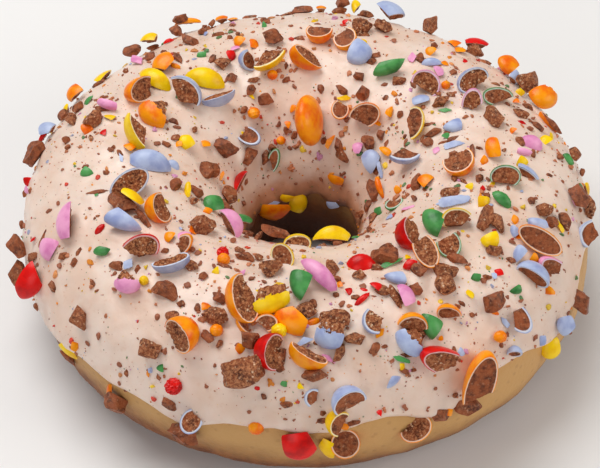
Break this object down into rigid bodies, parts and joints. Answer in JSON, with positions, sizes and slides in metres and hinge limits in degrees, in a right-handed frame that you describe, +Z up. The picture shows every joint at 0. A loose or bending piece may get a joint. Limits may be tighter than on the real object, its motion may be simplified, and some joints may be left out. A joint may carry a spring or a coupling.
{
  "type": "iced ring doughnut",
  "caption": "Ring doughnut of fried dough with a layer of pale icing over its upper half, for scenes with food.",
  "frame": {"origin": "on the surface the doughnut rests on, in the middle of the hole", "axes": "+Z up through the hole; -Y is the front, +X to the right"},
  "size_m": [0.089, 0.0902, 0.0276],
  "materials": {
    "dough": "fried dough, soft and slightly oily",
    "icing": "set sugar icing with a soft gloss"
  },
  "bodies": {
    "root": {"dough": "dough", "icing": "icing"}
  },
  "joints": []
}
